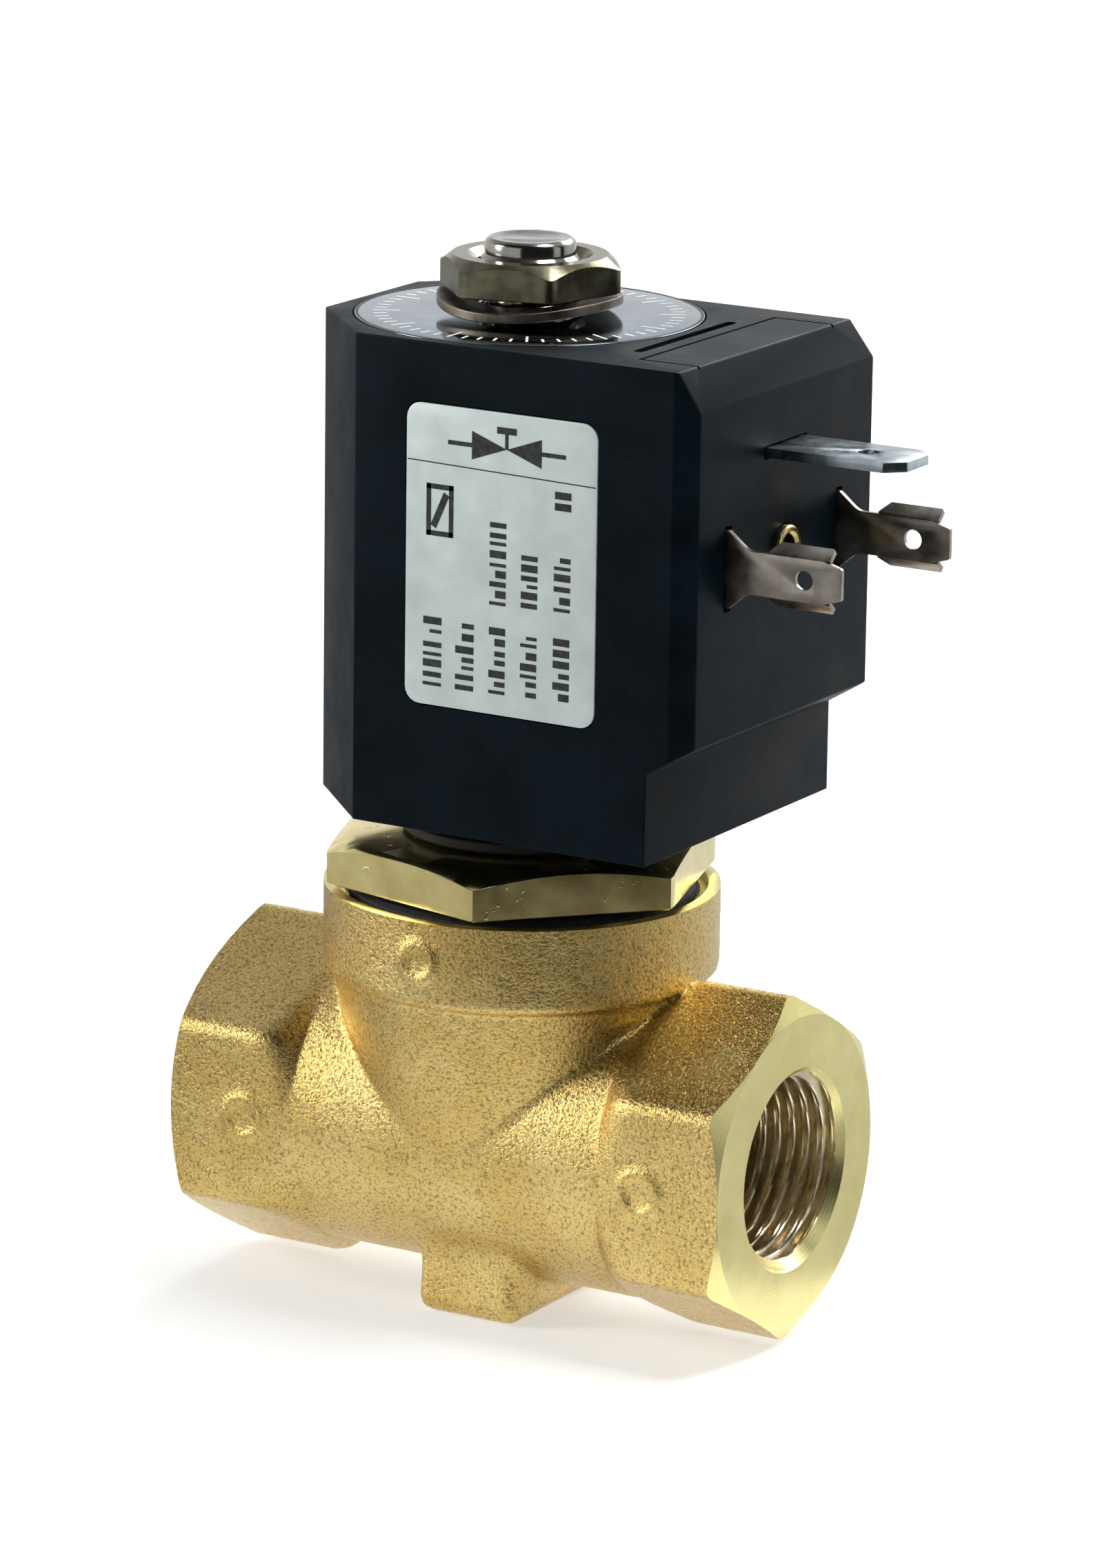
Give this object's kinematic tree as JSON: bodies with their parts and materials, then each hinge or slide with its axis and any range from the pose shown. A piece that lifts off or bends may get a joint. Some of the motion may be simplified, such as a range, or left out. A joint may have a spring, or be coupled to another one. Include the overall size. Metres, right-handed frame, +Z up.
{
  "type": "solenoid valve",
  "caption": "Two-way normally closed servo solenoid valve: forged brass body with threaded ports, screwed hexagonal bonnet, moulded plug-in coil with three tabs, and top nut.",
  "frame": {"origin": "middle of the foot's underside, below the crossing of the flow axis and the armature tube axis", "axes": "+Z up along the armature tube towards the coil nut, +X along the flow axis from the inlet to the outlet and towards the terminal tabs, +Y away from the labelled side"},
  "size_m": [0.0616, 0.0326, 0.0888],
  "materials": {
    "forged_brass": "hot forged and blasted, with turned port faces and cut threads",
    "turned_brass": "turned and milled, bright",
    "stainless": "turned and polished",
    "nickel_plate": "nickel plated, satin",
    "spring_steel": "stamped and tempered, dark",
    "yoke_steel": "zinc plated sheet",
    "copper": "bare or enamelled copper",
    "black_plastic": "glass-filled polyamide, moulded, satin",
    "bobbin_plastic": "moulded polyester",
    "ring_plastic": "sintered PTFE",
    "black_rubber": "moulded nitrile rubber",
    "fluoro_rubber": "moulded fluoro rubber",
    "label_film": "silvered polyester film, printed black"
  },
  "bodies": {
    "valve": {"valve_body": "forged_brass", "bonnet_seal": "black_rubber", "bonnet": "turned_brass", "armature_tube": "stainless", "fixed_core": "stainless", "shading_ring": "copper", "plunger_spring": "stainless", "piston_spring": "stainless", "spring_washer": "spring_steel", "coil_nut": "nickel_plate"},
    "piston": {"servo_piston": "turned_brass", "piston_ring": "ring_plastic", "main_seal": "black_rubber", "pilot_nozzle": "stainless"},
    "plunger": {"plunger": "stainless", "plunger_seal": "fluoro_rubber"},
    "coil": {"coil_housing": "black_plastic", "bobbin": "bobbin_plastic", "winding": "copper", "yoke": "yoke_steel", "yoke_plate": "yoke_steel", "coil_gasket": "black_rubber", "line_tab_near": "nickel_plate", "line_tab_far": "nickel_plate", "earth_tab": "nickel_plate", "plug_screw_insert": "turned_brass", "side_label": "label_film", "disc_label": "label_film"}
  },
  "joints": [
    {"name": "piston_lift", "type": "slide", "parent": "valve", "child": "piston", "axis": [0, 0, 1], "range_m": [0, 0.0024], "stiffness_N_per_m": 400, "springref_m": -0.003, "deforming": ["piston_spring"]},
    {"name": "plunger_lift", "type": "slide", "parent": "piston", "child": "plunger", "axis": [0, 0, 1], "range_m": [0, 0.001], "stiffness_N_per_m": 300, "springref_m": -0.004, "deforming": ["plunger_spring"]},
    {"name": "coil_swivel", "type": "hinge", "parent": "valve", "child": "coil", "pos_m": [0, 0, 0.06], "axis": [0, 0, 1], "continuous": true}
  ]
}
